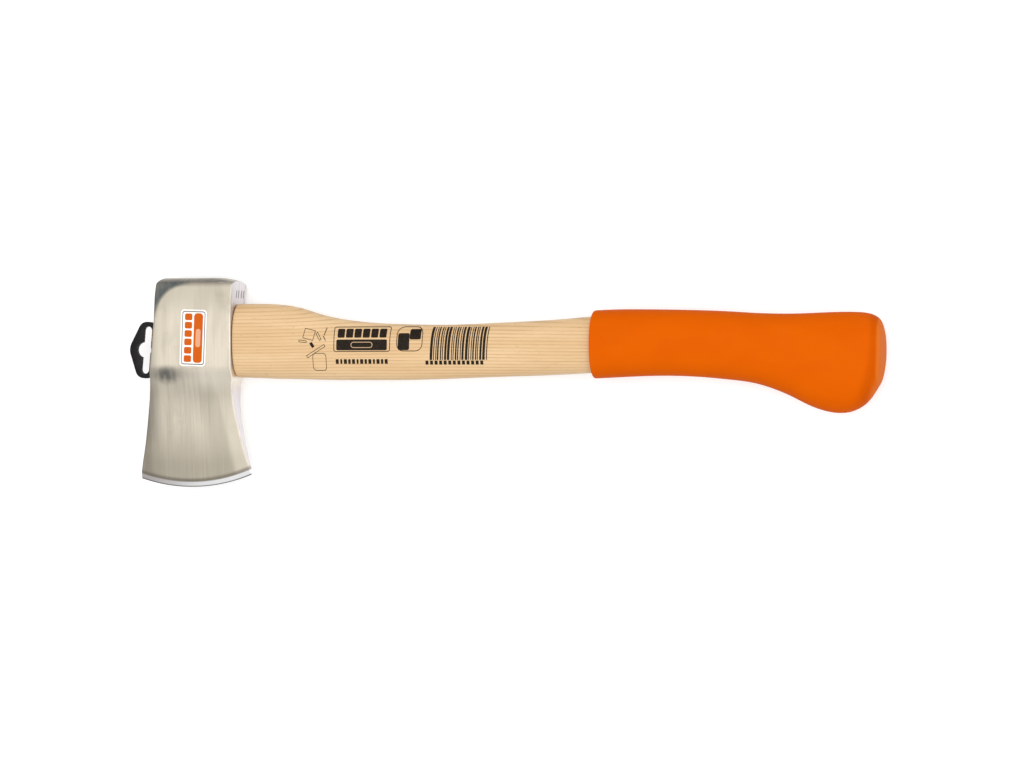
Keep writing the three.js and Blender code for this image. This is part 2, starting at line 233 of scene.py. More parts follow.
def cut(piece, tool, operation="DIFFERENCE"):
    """Cuts one piece with another, or joins them, and puts the tool away."""
    work(piece, "Cut", "BOOLEAN", operation=operation, solver="EXACT", object=tool)
    bpy.data.objects.remove(tool, do_unlink=True)


def soften(piece, levels=1):
    """Subdivides smoothly."""
    work(piece, "Soften", "SUBSURF", levels=levels, render_levels=levels)


def break_edges(piece, width):
    """Rounds every sharp edge."""
    work(piece, "Break edges", "BEVEL", width=width * MM, segments=4, limit_method="ANGLE",
         angle_limit=math.radians(40))


def smooth(piece, angle):
    """Shades smoothly, but for edges that are sharper than the angle."""
    take(piece)
    bpy.ops.object.shade_smooth_by_angle(angle=math.radians(angle))


def round_slot(name, length, width, low, high, rounds=10):
    """A bar with round ends, long way up, that runs along X from low to high."""
    bar = block(name, (low, -length / 2, -width / 2), (high, length / 2, width / 2))
    open_up(bar)
    bpy.ops.mesh.select_mode(type="EDGE")
    pick_parts(bar, "edges", lambda edge: abs(
        (edge.verts[0].co - edge.verts[1].co).normalized().x) > 0.9)
    bpy.ops.mesh.bevel(offset=(width / 2 - 0.002) * MM, segments=rounds, affect="EDGES")
    close_up()
    return bar


def flat_blank(name, x, y, z, width, height):
    """A flat rectangle on the height z, opened up with all of it selected."""
    let_go()
    bpy.ops.mesh.primitive_plane_add(size=1, location=at(x, y, z))
    blank = named(name)
    blank.scale = (width * MM, height * MM, 1)
    settle(blank)
    open_up(blank)
    take_all()
    return blank


def thicken(height):
    """Raises an open flat blank into a plate that faces outwards, and closes it up."""
    take_all()
    bpy.ops.mesh.extrude_region_move(TRANSFORM_OT_translate={"value": (0, 0, height * MM)})
    take_all()
    bpy.ops.mesh.normals_make_consistent(inside=False)
    close_up()


# ------------------------------------ curves
def curve_through(points):
    """A smooth curve y(x) through a list of (x, y) points."""
    def value(x):
        last = len(points) - 1
        i = next((k for k in range(1, last) if x < points[k][0]), last)
        (x0, y0), (x1, y1) = points[i - 1], points[i]
        before = points[i - 2] if i > 1 else (2 * x0 - x1, y1)
        after = points[i + 1] if i < last else (2 * x1 - x0, y0)
        half = (x1 - x0) / 2
        lead = half / (x0 - before[0])
        trail = half / (after[0] - x1)
        p = (x - x0) / (x1 - x0)
        return (
            (-lead * p**3 + 2 * lead * p**2 - lead * p) * before[1]
            + ((1 + lead) * p**3 - (1.5 + 2 * lead) * p**2 + (lead - 0.5) * p + 1) * y0
            + (-(1 + trail) * p**3 + (1.5 + trail) * p**2 + 0.5 * p) * y1
            + (trail * p**3 - trail * p**2) * after[1]
        )
    return value


def on_shaft(share):
    return SWELL_END + share * (FLARE_START - SWELL_END)


def from_end(distance):
    return HANDLE_REACH - distance


top_line = curve_through([
    (0, 24.8), (27, 24.6), (38, 23.5), (44, 22.5), (49, 20.6), (60, 16.7), (72, 14.5),
    (SWELL_END, 11.9), (on_shaft(0.2), 10.8), (on_shaft(0.42), 10.3), (on_shaft(0.66), 11.4),
    (FLARE_START, 13.3), (COLLAR + 6, 15.8), (from_end(144), 15.8), (from_end(103), 14.6),
    (from_end(81), 13.2), (from_end(61), 12.7), (from_end(19), 13.6), (from_end(9.5), 12.8),
    (from_end(4.4), 10.8), (from_end(1.2), 7), (HANDLE_REACH, 2.5),
])
bottom_line = curve_through([
    (0, -23.8), (16, -24.1), (27, -24.8), (38, -24.7), (60, -25.4), (SWELL_END, -25.5),
    (on_shaft(0.2), -25.5), (on_shaft(0.66), -23.6), (FLARE_START, -22.3),
    (COLLAR + 6, -20.6), (from_end(144), -19.1), (from_end(123), -19.6),
    (from_end(103), -21.2), (from_end(81), -24.1), (from_end(61), -31), (from_end(45), -38.8),
    (from_end(30), -42.6), (from_end(19), -41.4), (from_end(9.5), -35.2),
    (from_end(4.4), -27.6), (from_end(1), -21), (HANDLE_REACH, -15.3),
])
half_depth = curve_through([
    (0, HALF_HEAD), (20, 13.2), (50, 11.8), (SWELL_END, 10.8), (on_shaft(0.5), 10.6),
    (COLLAR, 12.5), (from_end(100), 12.6), (from_end(30), 13.1), (from_end(12), 12.9),
    (from_end(5.5), 11.9), (from_end(1.8), 9.6), (HANDLE_REACH, 6.5),
])
blade_thickness = curve_through([
    (0, 3.2), (0.14, 5.8), (0.35, 8.2), (0.58, 11.8), (0.77, 16.2), (0.89, 21.6),
    (0.96, 25.4), (1, 27),
])
# The head's top side and its underside, as X at a height.
top_side = curve_through([
    (-TOE_DEPTH, -HEAD_LENGTH - TOE_FLARE), (-68.5, -64.7), (-47.3, -61.6), (-27.2, -58.9),
    (-8, -56.8), (9.5, -55.05), (30, -54.2), (POLL_TOP, -53.2),
])
underside = curve_through([
    (-HEEL_DEPTH, HEEL_FLARE), (-76.4, 6.5), (-62.8, 3.15), (-49.2, 0.3), (-38, -1.1),
    (-32, -1.1), (-27, -1.1), (-24.6, 0), (-20, 0), (22, 0), (29.5, 0.25), (36.2, 0.85),
    (POLL_TOP, 1),
])


def edge_height(x):
    """Where the curved cutting edge is at X."""
    across = x - EDGE_CENTRE[0]
    return EDGE_CENTRE[1] - math.sqrt(EDGE_RADIUS**2 - across**2)


def corner_pull(radius, distance):
    """How far a round corner pulls in, this far from its start."""
    return radius - math.sqrt(max(0.0, radius**2 - max(0.0, distance) ** 2))


# ------------------------------------ head
HEAD_ROWS = (
    -89.8, -88.6, -85.75, -85.25, -80, -74, -68, -62, -56, -50, -44, -38, -33, -29.5, -27,
    -24.8, -22, -19.5, -17.5, -15, -10, 0, 10, 20, 26, 30, 34, 36.2, 37.9, 39.2, 40.4, 41.4, 41.9,
)
HEAD_COLUMNS = (
    0.007, 0.025, 0.07, 0.16, 0.27, 0.38, 0.5, 0.62, 0.73, 0.84, 0.93, 0.975, 0.993,
)
HEAD_LAYERS = (-0.94, -0.75, -0.5, -0.25, 0, 0.25, 0.5, 0.75, 0.94)
TOP_CORNER = 2.8
HEEL_CORNER = 1.7
CORNER_RUB = 0.22               # how far the long corners are drawn in
CORNER_THIN = 0.968             # their thickness, as a share of the head's


def row_ends(y):
    """Where a row across the head meets its top side and its underside."""
    below = min(0.0, y - CHEEK_END)
    toe_share = (TOE_DEPTH + CHEEK_END) / (CHEEK_END - EDGE_LINE)
    heel_share = (HEEL_DEPTH + CHEEK_END) / (CHEEK_END - EDGE_LINE)
    left = top_side(y if y > CHEEK_END else CHEEK_END + below * toe_share)
    right = underside(y if y > CHEEK_END else CHEEK_END + below * heel_share)
    left += corner_pull(TOP_CORNER, y - POLL_TOP + TOP_CORNER)
    right -= corner_pull(HEEL_CORNER, y - POLL_TOP + HEEL_CORNER)
    return left, right


def row_thickness(y):
    bevel_line = EDGE_LINE + BEVEL_HEIGHT
    if y >= CHEEK_END:
        return 2 * HALF_HEAD
    if y <= bevel_line:
        share = (y - EDGE_LINE) / BEVEL_HEIGHT
        return EDGE_THICKNESS + share * (blade_thickness(0) - EDGE_THICKNESS)
    return blade_thickness((y - bevel_line) / (CHEEK_END - bevel_line))


def lower_poll(head, start, wanted, fall):
    """Draws part of the poll down towards its root."""
    if fall > 0:
        pick(head, lambda place: wanted(place) and place.y > POLL_ROOT + 0.05, start)
        stretch(at(0, POLL_ROOT), y=1 - fall / (POLL_TOP - POLL_ROOT))


def make_head():
    head = block("head", (-HEAD_LENGTH, EDGE_LINE, -HALF_HEAD), (0, POLL_TOP, HALF_HEAD))
    open_up(head)
    for y in HEAD_ROWS:
        slice_at(at(0, y), (0, 1, 0))
    for share in HEAD_COLUMNS:
        slice_at(at(-HEAD_LENGTH * (1 - share), 0), (1, 0, 0))
    for share in HEAD_LAYERS:
        slice_at(at(0, 0, share * HALF_HEAD), (0, 0, 1))
    close_up()
    start = starting_places(head)
    open_up(head)

    # Each row across is drawn to the outline and to its thickness.
    for y in (EDGE_LINE, *HEAD_ROWS, POLL_TOP):
        left, right = row_ends(y)
        pick(head, lambda place: abs(place.y - y) < 0.05, start)
        stretch(
            at(-HEAD_LENGTH, y), x=(right - left) / HEAD_LENGTH,
            z=row_thickness(y) / (2 * HALF_HEAD),
        )
        shift(x=left + HEAD_LENGTH)

    # The long corners between the cheeks and the sides are taken off.
    for side, inwards in ((-HEAD_LENGTH, CORNER_RUB), (0, -CORNER_RUB)):
        pick(
            head,
            lambda place: abs(place.x - side) < 0.05 and abs(place.z) > HALF_HEAD - 0.05,
            start,
        )
        stretch(at(0, 0), z=CORNER_THIN)
        shift(x=inwards)

    # The lower end follows the curved edge, column by column.
    for share in (0, *HEAD_COLUMNS, 1):
        column = -HEAD_LENGTH * (1 - share)
        edge_x = -HEAD_LENGTH - TOE_FLARE + share * (HEAD_LENGTH + TOE_FLARE + HEEL_FLARE)
        pick(
            head,
            lambda place: abs(place.x - column) < 0.05 and place.y < CHEEK_END - 0.05,
            start,
        )
        reach = (CHEEK_END - edge_height(edge_x)) / (CHEEK_END - EDGE_LINE)
        stretch(at(0, CHEEK_END), y=reach)
        fall = POLL_DROP * max(0.0, 1 + column / POLL_DROP_LENGTH) ** 2
        lower_poll(head, start, lambda place: abs(place.x - column) < 0.05, fall)

    # The poll is crowned across its thickness.
    for share in (*HEAD_LAYERS, -1, 1):
        z = share * HALF_HEAD
        sag = corner_pull(POLL_CROWN, abs(z))
        lower_poll(head, start, lambda place: abs(place.z - z) < 0.05, sag)
    close_up()
    soften(head, 2)
    cut(head, round_slot("eye_tool", EYE_LENGTH, EYE_WIDTH, -2 * HEAD_LENGTH, HEAD_LENGTH, 16))
    smooth(head, 30)
    return head


# ------------------------------------ handle and grip
def limb(name, places, source, growth):
    """A long body along X: a cylinder sliced at its stations, squared a little all round,
    and then drawn out at each station to the handle's outline there."""
    middle = (places[0] + places[-1]) / 2
    let_go()
    bpy.ops.mesh.primitive_cylinder_add(
        vertices=LIMB_SIDES, radius=MM, depth=(places[-1] - places[0]) * MM,
        end_fill_type="NGON", location=at(middle, 0), rotation=(0, math.pi / 2, 0),
    )
    body = named(name)
    settle(body)
    open_up(body)
    for x in places[1:-1]:
        slice_at(at(x, 0), (1, 0, 0))
    step = 2 * math.pi / LIMB_SIDES
    for k in range(1, LIMB_SIDES // 4):
        angle = k * step
        pick(body, lambda place: abs(math.atan2(abs(place.z), abs(place.y)) - angle) < step / 4)
        power = 2 / SQUARENESS - 1
        stretch(at(0, 0), y=math.cos(angle) ** power, z=math.sin(angle) ** power)
    for x in places:
        top = top_line(source(x)) + growth(x)
        bottom = bottom_line(source(x)) - growth(x)
        pick(body, lambda place: abs(place.x - x) < 0.04)
        stretch(at(x, 0), y=(top - bottom) / 2, z=half_depth(source(x)) + growth(x))
        shift(y=(top + bottom) / 2)
    close_up()
    soften(body)
    return body


def wood_source(x):
    """Near the knob the wood takes its outline from further on, so the grip keeps its wall."""
    start = HANDLE_REACH - KNOB_LENGTH
    share = min(1.0, max(0.0, (x - start) / (WOOD_END - start)))
    return x + GRIP_CAP * share * share * (3 - 2 * share)


def crowded(low, high, steps, crowding):
    """Stations that crowd towards the high end."""
    return [low + (high - low) * (1 - (1 - i / steps) ** crowding) for i in range(steps + 1)]


def wood_places():
    shoulder = [FIT, FIT + 0.15, FIT + 0.5, FIT + SHOULDER_ROUNDING]
    return shoulder + crowded(FIT + 2 * SHOULDER_ROUNDING, WOOD_END, 40, 1.3)


def lean(tool, y):
    """Turns a tool drawn at X = 0 onto the slanted end of the wood, at a height."""
    tool.rotation_euler.z = -TOP_SLANT
    tool.location = at(math.tan(TOP_SLANT) * y - TONGUE_TIP, y)
    settle(tool)


def trim_past_tongue(piece, distance):
    """Cuts off whatever lies further out than this past the slanted end of the wood."""
    way = Vector((-math.cos(TOP_SLANT), math.sin(TOP_SLANT), 0))
    open_up(piece)
    take_all()
    bpy.ops.mesh.bisect(
        plane_co=at(-TONGUE_TIP, 0) + way * distance * MM, plane_no=way,
        use_fill=True, clear_outer=True,
    )
    close_up()


def make_handle():
    wood = limb(
        "handle_wood", wood_places(), wood_source,
        lambda x: -corner_pull(SHOULDER_ROUNDING, SHOULDER_ROUNDING - (x - FIT)),
    )
    tongue = round_slot(
        "tongue", EYE_LENGTH - 2 * FIT, EYE_WIDTH - 2 * FIT, -TONGUE_TIP - OVERSHOOT, 10, 16)
    trim_past_tongue(tongue, 0)
    cut(wood, tongue, "UNION")

    thick, thin, depth = WOOD_WEDGE
    high = depth - TONGUE_TIP + FIT
    kerf = block("kerf", (-TONGUE_TIP - OVERSHOOT, -EYE_LENGTH, -1), (high, EYE_LENGTH, 1))
    slope = (thick - thin) / 2 / depth
    open_up(kerf)
    pick(kerf, lambda place: place.x < -TONGUE_TIP)
    stretch(at(0, 0), z=thick / 2 + slope * OVERSHOOT + FIT)
    pick(kerf, lambda place: place.x > -TONGUE_TIP)
    stretch(at(0, 0), z=thin / 2 + FIT)
    close_up()
    cut(wood, kerf)

    thick, thin, depth = STEEL_WEDGE
    half = STEEL_WEDGE_WIDTH / 2 + FIT
    slot = block("slot", (-OVERSHOOT, -1, -half), (depth + FIT, 1, half))
    open_up(slot)
    slice_at(at(0.3, 0), (1, 0, 0))
    pick(slot, lambda place: place.x < 1)
    stretch(at(0, 0), y=thick / 2 + FIT)
    pick(slot, lambda place: place.x > 1)
    stretch(at(0, 0), y=thin / 2 + FIT)
    close_up()
    pin(slot, ZERO)
    lean(slot, STEEL_WEDGE_RISE)
    cut(wood, slot)

    low, top, thickness, reach = TAIL
    half = thickness / 2 + FIT
    cut(wood, block(
        "tail_slot", (-2 * HEAD_LENGTH, low - FIT, TAB_MIDDLE_Z - half),
        (reach + FIT, top + FIT, TAB_MIDDLE_Z + half),
    ))
    smooth(wood, 32)
    return wood


def make_grip():
    places = [COLLAR, COLLAR + 0.12, COLLAR + 0.35, COLLAR + COLLAR_ROUNDING]
    places += crowded(COLLAR + 3 * COLLAR_ROUNDING, HANDLE_REACH, 34, 1.8)
    outer = limb(
        "handle_grip", places, lambda x: x,
        lambda x: FIT + GRIP_WALL - corner_pull(COLLAR_ROUNDING, COLLAR_ROUNDING - (x - COLLAR)),
    )
    inner = wood_places()
    first = next(i for i, x in enumerate(inner) if x > COLLAR) - 1
    hollow = limb(
        "hollow", [*inner[first:], WOOD_END + FIT],
        lambda x: wood_source(min(x, WOOD_END)), lambda x: FIT,
    )
    cut(outer, hollow)
    smooth(outer, 45)
    return outer


# ------------------------------------ hang tab
def make_hanger():
    """The tab that shows past the eye, with its tail that is pinched beside the wedge."""
    low = TAB_MIDDLE_Z - TAB_THICKNESS / 2
    middle = (TAB_BASE + TAB_SHOULDER) / 2
    tab = flat_blank("hang_tab", middle, 0, low, TAB_BASE - TAB_SHOULDER, 2 * TAB_HALF)
    pick(tab, lambda place: place.x < middle)
    bpy.ops.mesh.subdivide(number_cuts=1)
    pick(tab, lambda place: place.x < middle and abs(place.y) < 1)
    shift(x=TAB_PEAK - TAB_SHOULDER)
    take_all()
    bpy.ops.mesh.bevel(offset=TAB_BEND * MM, segments=7, affect="VERTICES")
    thicken(TAB_THICKNESS)
    for name, (length, width), x in (
        ("hook_slot", HANG_SLOT, HANG_SLOT_X),
        ("hook_bump", (HANG_BUMP + 0.1, HANG_BUMP), HANG_BUMP_X),
    ):
        tool = round_slot(name, length, width, -10, 10, 10)
        pin(tool, ZERO)
        tool.rotation_euler.y = math.pi / 2
        tool.location = at(x, 0, TAB_MIDDLE_Z)
        settle(tool)
        cut(tab, tool)
    pin(tab, ZERO)
    lean(tab, TAB_RISE)
    bottom, top, thickness, reach = TAIL
    tail = block(
        "tail", (-HEAD_LENGTH - 20, bottom, TAB_MIDDLE_Z - thickness / 2),
        (reach, top, TAB_MIDDLE_Z + thickness / 2),
    )
    trim_past_tongue(tail, 1.15)
    cut(tab, tail, "UNION")
    break_edges(tab, 0.7)
    smooth(tab, 40)
    return tab


# ------------------------------------ cheek label
def rounded_card(name, x, y, z, width, height, corner, thickness, material):
    """A thin card with round corners on the height z, turned as the label is."""
    card = flat_blank(name, x, y, z, width, height)
    bpy.ops.mesh.bevel(offset=corner * MM, segments=5, affect="VERTICES")
    thicken(thickness)
    pin(card, at(*LABEL_MIDDLE, z))
    card.rotation_euler.z = LABEL_TURN
    settle(card)
    card.data.materials.append(material)
    return card


def join(name, parts):
    let_go()
    for part in parts:
        part.select_set(True)
    bpy.context.view_layer.objects.active = parts[0]
    bpy.ops.object.join()
    return named(name)


def make_label(film, line_ink, orange_ink, pale_ink):
    """A film with a fine frame, six plain chips and a bar, each ink a little prouder."""
    width, height, thickness = LABEL
    x, y = LABEL_MIDDLE
    base = HALF_HEAD + GLUE_LINE
    parts = [rounded_card("label", x, y, base, width, height, 2.2, thickness, film)]
    # name, across, along, width, height, corner, how far it stands proud of the film, ink
    layers = [
        ("frame", 0, 0, width - 2, height - 2, 1.7, 0.03, line_ink),
        ("field", 0, 0, width - 3.1, height - 3.3, 1.2, 0.06, film),
        ("bar", 3.4, 0, 6.3, 32.6, 2.2, 0.09, orange_ink),
        ("oval", 3.4, 0, 3.4, 12, 1.6, 0.12, pale_ink),
    ]
    for i in range(6):
        layers.append((f"chip{i}", -3.6, 5.5 * (i - 2.5), 5.2, 4.4, 1.1, 0.09, orange_ink))
    root = base + thickness - INK_ROOT
    for name, dx, dy, wide, high, corner, rise, ink in layers:
        parts.append(
            rounded_card(name, x + dx, y + dy, root, wide, high, corner, rise + INK_ROOT, ink))
    return join("cheek_sticker", parts)


# ------------------------------------ prints on the wood
PRINT_TOP = 16.0                # the stencils start above the wood
INK_LIFT = (0.05, 0.1)          # the black ink and the pale ink, off the wood
INK_THICKNESS = 0.03
OUTLINE = 0.34                  # line widths of the picture and of the panels
PANEL_LINE = 0.45


def stencil(x, y, width, height, turn=0.0, corner=0.0, hollow=0.0, cuts=3):
    """A flat printed shape, or only its outline, ready to be pressed on the wood."""
    shape = flat_blank("stencil", x, y, PRINT_TOP, width, height)
    if hollow > 0:
        if corner > 0:
            bpy.ops.mesh.bevel(offset=corner * MM, segments=4, affect="VERTICES")
            take_all()
        bpy.ops.mesh.select_mode(type="FACE")
        bpy.ops.mesh.inset(thickness=hollow * MM)
        bpy.ops.mesh.delete(type="FACE")
        bpy.ops.mesh.select_mode(type="VERT")
        take_all()
    bpy.ops.mesh.subdivide(number_cuts=cuts)
    if corner > 0 and hollow == 0:
        pick_parts(shape, "verts", lambda vertex: len(vertex.link_edges) == 2)
        bpy.ops.mesh.bevel(offset=corner * MM, segments=3, affect="VERTICES")
    close_up()
    pin(shape, at(x, y, PRINT_TOP))
    shape.rotation_euler.z = turn
    settle(shape)
    return shape


def press_on(wood, name, parts, ink, lift):
    """Presses flat shapes down on the wood as one thin film of ink."""
    printed_film = join(name, parts)
    work(printed_film, "Press", "SHRINKWRAP", target=wood, wrap_method="PROJECT",
         use_project_z=True, use_negative_direction=True, use_positive_direction=False,
         offset=lift * MM)
    work(printed_film, "Film", "SOLIDIFY", thickness=INK_THICKNESS * MM, offset=1)
    printed_film.data.materials.append(ink)
    return printed_film


def make_print(wood, ink, pale_ink):
    """Plain shapes along the handle: x, y, width and height are the first four numbers."""
    parts = [
        # a small picture: a blade, its handle and a block
        stencil(53.9, 4.4, 7.4, 6.8, turn=-0.25, hollow=OUTLINE),
        stencil(60.4, 3.0, 5.6, 1.7, turn=-1.05, hollow=OUTLINE),
        stencil(49.6, -0.2, 5.6, 1.5, turn=-0.12, corner=0.7, hollow=OUTLINE, cuts=2),
        stencil(56.0, -2.6, 2.0, 3.6, turn=0.6),
        stencil(58.6, -6.6, 14.4, 1.9, turn=0.55, hollow=OUTLINE),
        stencil(61.0, -13.6, 9.4, 11.4, corner=2.2, hollow=OUTLINE, cuts=2),
        stencil(65.0, 6.2, 0.5, 5.2, turn=-0.3),
        stencil(64.4, 1.8, 0.5, 3.6, turn=0.5),
        # a boxed panel with plain blocks over a solid bar
        stencil(90.1, 1.1, 38.6, 16.4, corner=1.5, hollow=PANEL_LINE, cuts=9),
        stencil(90.0, -2.6, 34.6, 7.0, corner=1.2, cuts=7),
        # a round-cornered panel, half filled
        stencil(122.6, 1.2, 17.8, 16.2, corner=4.8, hollow=PANEL_LINE, cuts=5),
        stencil(118.6, -0.6, 7.8, 11.0, corner=1.2, cuts=5),
        stencil(126.4, 4.2, 7.6, 6.8, corner=1.0, cuts=4),
    ]
    for i in range(6):
        parts.append(stencil(75.8 + 5.7 * i, 5.0, 4.8, 5.8, corner=0.7))
    for i in range(13):
        wide = (2.0, 1.3, 2.1, 1.6)[i % 4]
        parts.append(stencil(73.2 + 2.8 * i, -13.4, wide, 3.0, cuts=2))
    # plain bars of several widths, with ticks below
    x = 137.0
    for i in range(23):
        wide = (1.7, 0.6, 1.0, 0.6, 1.4, 0.8, 0.6)[i * 3 % 7]
        gap = (0.6, 0.9, 0.5, 1.0)[i * 5 % 4]
        parts.append(stencil(x + wide / 2, -1.8, wide, 21.4, turn=-0.05, cuts=15))
        x += wide + gap
    for i in range(13):
        parts.append(stencil(134.6 + 3.1 * i, -14.2, 2.0, 2.6, cuts=2))
    black = press_on(wood, "black_print", parts, ink, INK_LIFT[0])
    oval = stencil(90.0, -2.6, 15.0, 4.0, corner=1.9, hollow=0.5, cuts=5)
    pale = press_on(wood, "pale_print", [oval], pale_ink, INK_LIFT[1])
    marks = join("handle_print", [black, pale])
    smooth(marks, 40)
    return marks


# ------------------------------------ shader helpers
def linear(red, green, blue):
    """A colour mixed on a 0 to 255 chart, for a shader socket."""
    def one(value):
        share = value / 255
        return share / 12.92 if share <= 0.04045 else ((share + 0.055) / 1.055) ** 2.4
    return (one(red), one(green), one(blue), 1.0)


def put(tree, kind, values=None, **options):
    """Adds a node, sets its options, and fills or connects its inputs."""
    node = tree.nodes.new(kind)
    for option, value in options.items():
        setattr(node, option, value)
    for socket, value in (values or {}).items():
        if isinstance(value, bpy.types.NodeSocket):
            tree.links.new(value, node.inputs[socket])
        else:
            node.inputs[socket].default_value = value
    return node


def calc(tree, operation, first, second=0.0, third=0.0):
    return put(
        tree, "ShaderNodeMath", {0: first, 1: second, 2: third}, operation=operation,
    ).outputs[0]


def vector_calc(tree, operation, first, second):
    return put(
        tree, "ShaderNodeVectorMath", {0: first, 1: second}, operation=operation,
    ).outputs[0]


def span(tree, vector):
    return put(
        tree, "ShaderNodeVectorMath", {0: vector}, operation="LENGTH").outputs["Value"]


def times(tree, first, *others):
    """Several masks and strengths multiplied together."""
    for other in others:
        first = calc(tree, "MULTIPLY", first, other)
    return first


def plus(tree, value, strength, base):
    """The base with a share of the value added to it."""
    return calc(tree, "MULTIPLY_ADD", value, strength, base)


def off(tree, value, middle=0.0):
    """How far a value is from a middle, either way."""
    return calc(tree, "ABSOLUTE", calc(tree, "SUBTRACT", value, middle))


def tint(tree, share, first, second):
    return put(
        tree, "ShaderNodeMix", {0: share, 6: first, 7: second}, data_type="RGBA",
    ).outputs[2]


def wash(tree, colour, mask, paint, strength=1.0):
    """A colour laid over another where the mask is."""
    share = mask if strength == 1.0 else times(tree, mask, strength)
    return tint(tree, share, colour, linear(*paint))


def ease(tree, value, low, high, start=0.0, end=1.0):
    """Goes smoothly from start to end as the value goes from low to high."""
    return put(
        tree, "ShaderNodeMapRange",
        {"Value": value, "From Min": low, "From Max": high, "To Min": start, "To Max": end},
        interpolation_type="SMOOTHSTEP",
    ).outputs[0]


def noise(tree, place, detail=3.0, roughness=0.5, scale=1.0, output="Fac"):
    return put(
        tree, "ShaderNodeTexNoise",
        {"Vector": place, "Scale": scale, "Detail": detail, "Roughness": roughness},
    ).outputs[output]


def parts_of(tree, vector):
    """The X, Y and Z of a place or a direction."""
    return put(tree, "ShaderNodeSeparateXYZ", {0: vector}).outputs


def faced(tree):
    """The X, Y and Z of the way that the surface faces."""
    return parts_of(tree, put(tree, "ShaderNodeNewGeometry").outputs["Normal"])


def drawn_out(tree, place, x, y, z):
    """Stretches a pattern: a small number draws it out along that way."""
    return vector_calc(tree, "MULTIPLY", place, (x, y, z))


def away_from(tree, place, x, y, wide=1.0, high=1.0):
    """Distance from a point on the side of the axe, with the ways across weighted."""
    moved = vector_calc(tree, "SUBTRACT", place, (x, y, 0))
    return span(tree, drawn_out(tree, moved, 1 / wide, 1 / high, 0))


def connect(tree, node, **sockets):
    for socket, value in sockets.items():
        tree.links.new(value, node.inputs[socket.replace("_", " ")])


VECTOR, NUMBER = "NodeSocketVector", "NodeSocketFloat"
HEART = (0, -260.0, -60.0)      # where the tree's heart ran, off the handle
WANDER = 2.6                    # how far the rings stray from straight


def new_group(name, numbers, outputs):
    """An effect that reads a place and some numbers, and puts out masks."""
    group = bpy.data.node_groups.new(name, "ShaderNodeTree")
    group.interface.new_socket("Place", in_out="INPUT", socket_type=VECTOR)
    for label, value in numbers.items():
        socket = group.interface.new_socket(label, in_out="INPUT", socket_type=NUMBER)
        socket.default_value = value
    for label in outputs:
        group.interface.new_socket(label, in_out="OUTPUT", socket_type=NUMBER)
    return group, group.nodes.new("NodeGroupInput").outputs, group.nodes.new("NodeGroupOutput")


def use(tree, group, **values):
    """Places an effect in a material with that material's own values."""
    values = {socket.replace("_", " "): value for socket, value in values.items()}
    return put(tree, "ShaderNodeGroup", values, node_tree=group).outputs


def brushing_group():
    """Fine lines that a grinding belt leaves, drawn out up and down the head."""
    group, given, result = new_group("Belt Brushing", {"Depth Shift": 1.3}, ["Lines", "Bands"])
    on_side = ease(group, off(group, faced(group)["X"]), 0.5, 0.8)
    split = parts_of(group, given["Place"])
    aside = times(group, split["Z"], given["Depth Shift"])
    across = plus(group, aside, on_side, split["X"])
    flat = put(group, "ShaderNodeCombineXYZ", {"X": across, "Y": split["Y"]}).outputs[0]
    lines = noise(group, drawn_out(group, flat, 0.9, 0.014, 1), 3.0, 0.55)
    bands = noise(group, drawn_out(group, flat, 0.1, 0.016, 1))
    connect(group, result, Lines=lines, Bands=bands)
    return group


def wear_and_glint_group():
    """Edges that are rubbed brighter and carry a painted highlight, broken up by a little noise.
    """
    group, given, result = new_group("Edge Wear And Glint", {"Reach": 0.04}, ["Worn"])
    pointed = group.nodes.new("ShaderNodeNewGeometry").outputs["Pointiness"]
    edge = calc(group, "DIVIDE", calc(group, "SUBTRACT", pointed, 0.5), given["Reach"])
    broken = ease(group, noise(group, given["Place"], 4.0, scale=0.6), 0.3, 0.65, 0.35, 1.0)
    connect(group, result, Worn=times(group, ease(group, edge, 0.15, 1.0), broken))
    return group


def grain_group():
    """Growth rings about a far-off heart that runs along the handle, with open pores."""
    group, given, result = new_group(
        "Ring Grain", {"Ring Width": 2.1}, ["Rings", "Pores", "Figure"])
    place = given["Place"]
    wander = noise(group, drawn_out(group, place, 0.005, 0.02, 0.02), 1.0, output="Color")
    swing = drawn_out(group, wander, WANDER, WANDER, WANDER)
    bent = vector_calc(group, "ADD", place, swing)
    heart = vector_calc(group, "SUBTRACT", bent, HEART)
    radius = span(group, drawn_out(group, heart, 0, 1, 1))
    year = calc(group, "FRACT", calc(group, "DIVIDE", radius, given["Ring Width"]))
    late = times(group, ease(group, year, 0.5, 0.86), ease(group, year, 1.0, 0.93))
    uneven = noise(group, drawn_out(group, place, 0.02, 0.35, 0.35))
    pores = noise(group, drawn_out(group, bent, 0.11, 4.2, 4.2), 4.0, 0.6)
    connect(
        group, result, Rings=times(group, late, ease(group, uneven, 0.3, 0.7, 0.35, 1.0)),
        Pores=ease(group, pores, 0.5, 0.72),
        Figure=noise(group, drawn_out(group, place, 0.01, 0.12, 0.12)),
    )
    return group


def skin_group():
    """The fine spark-eroded skin of a moulding, with slow ripples under it."""
    group, given, result = new_group("Moulded Skin", {"Grit": 3.0}, ["Height", "Mottle"])
    fine = noise(group, given["Place"], 5.0, 0.65, given["Grit"])
    slow = noise(group, drawn_out(group, given["Place"], 0.03, 0.06, 0.06), 2.0)
    connect(group, result, Height=plus(group, slow, 0.6, fine), Mottle=slow)
    return group


def dust_group():
    """Patches of shop dust and finger marks."""
    group, given, result = new_group("Shop Dust", {"Size": 0.1, "Amount": 0.5}, ["Dust"])
    patches = noise(group, given["Place"], 6.0, 0.6, given["Size"])
    connect(group, result, Dust=times(group, ease(group, patches, 0.48, 0.78), given["Amount"]))
    return group


BRUSHING = brushing_group()
WEAR_AND_GLINT = wear_and_glint_group()
GRAIN = grain_group()
SKIN = skin_group()
DUST = dust_group()


